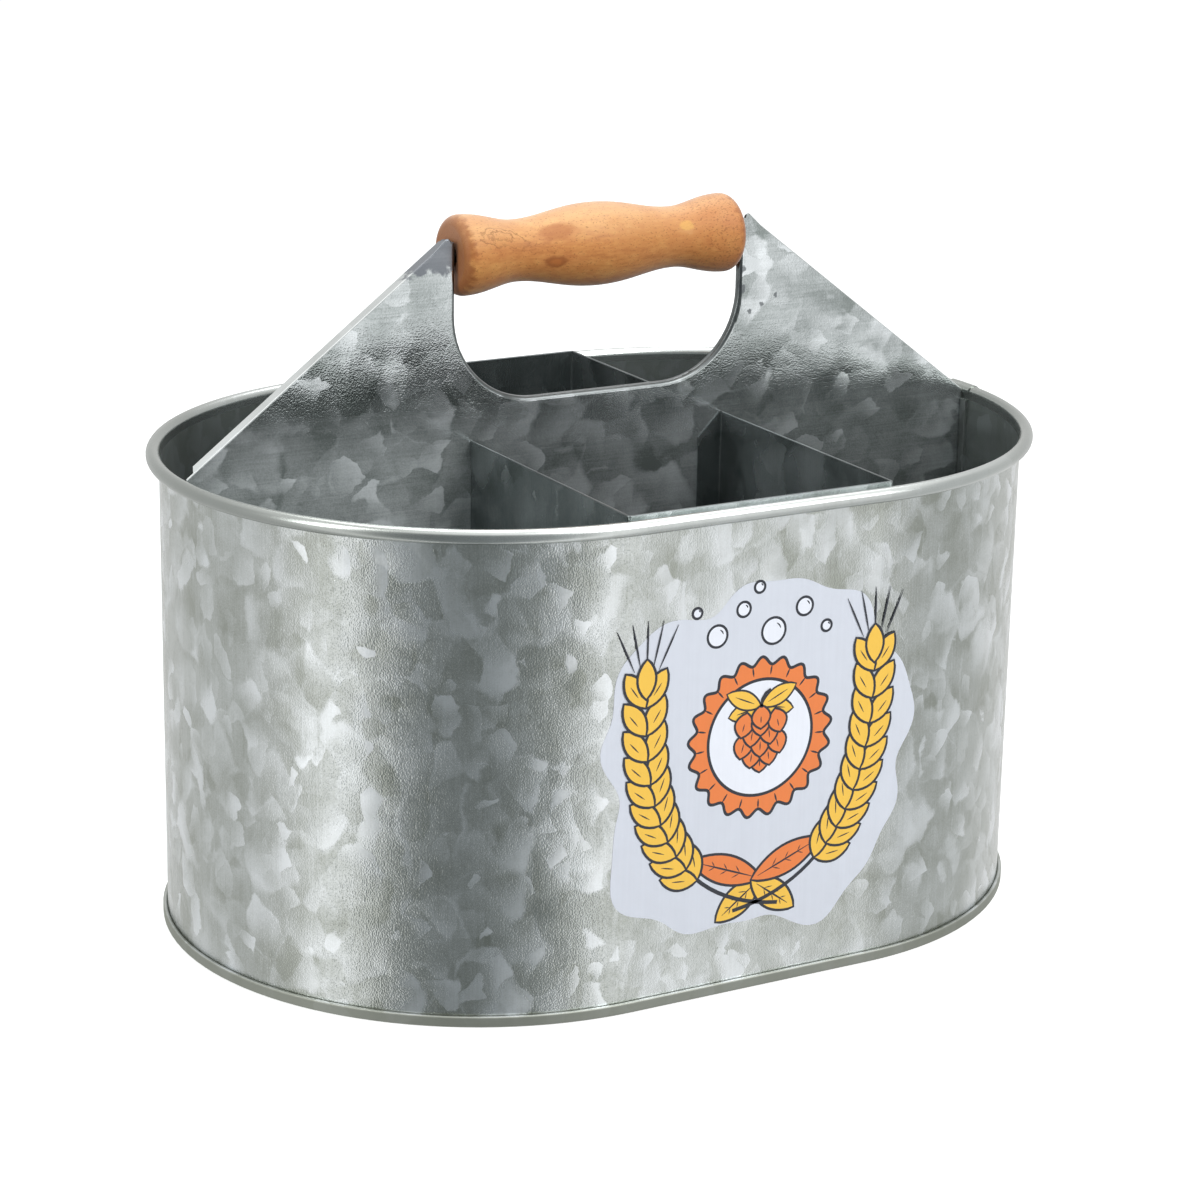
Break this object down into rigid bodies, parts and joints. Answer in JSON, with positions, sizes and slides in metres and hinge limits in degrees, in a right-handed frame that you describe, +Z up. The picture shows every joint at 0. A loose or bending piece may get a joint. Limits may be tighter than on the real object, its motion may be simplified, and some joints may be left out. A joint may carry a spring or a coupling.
{
  "type": "bottle caddy",
  "caption": "Oval galvanized steel tub divided into bottle compartments, with a raised centre panel that holds a turned wooden grip on a rod.",
  "frame": {"origin": "middle of the foot, on the surface that the caddy stands on", "axes": "+X along the tub to the right end, where the wall's seam is; -Y towards the printed front; +Z up"},
  "size_m": [0.3273, 0.2326, 0.2523],
  "materials": {
    "galvanized_wall": "hot-dip galvanized, satin, with spangles and fine upright rolling lines",
    "galvanized_panel": "hot-dip galvanized, satin, with large spangles and fine level rolling lines",
    "galvanized_divider": "hot-dip galvanized, satin, with spangles",
    "steel_wire": "zinc-plated, drawn, dull",
    "grip_wood": "turned hardwood with fine dark pores, satin varnish",
    "printed_design": "screen print, satin"
  },
  "bodies": {
    "caddy": {"tub_wall": "galvanized_wall", "tub_base": "galvanized_wall", "centre_panel": "galvanized_panel", "front_divider": "galvanized_divider", "back_divider": "galvanized_divider", "rim_wire": "steel_wire", "grip_rod": "steel_wire", "rod_washers": "steel_wire"},
    "grip": {"wood_grip": "grip_wood"}
  },
  "joints": [
    {"name": "grip_spin", "type": "hinge", "parent": "caddy", "child": "grip", "pos_m": [0, 0.006, 0.2376], "axis": [1, 0, 0], "continuous": true}
  ]
}
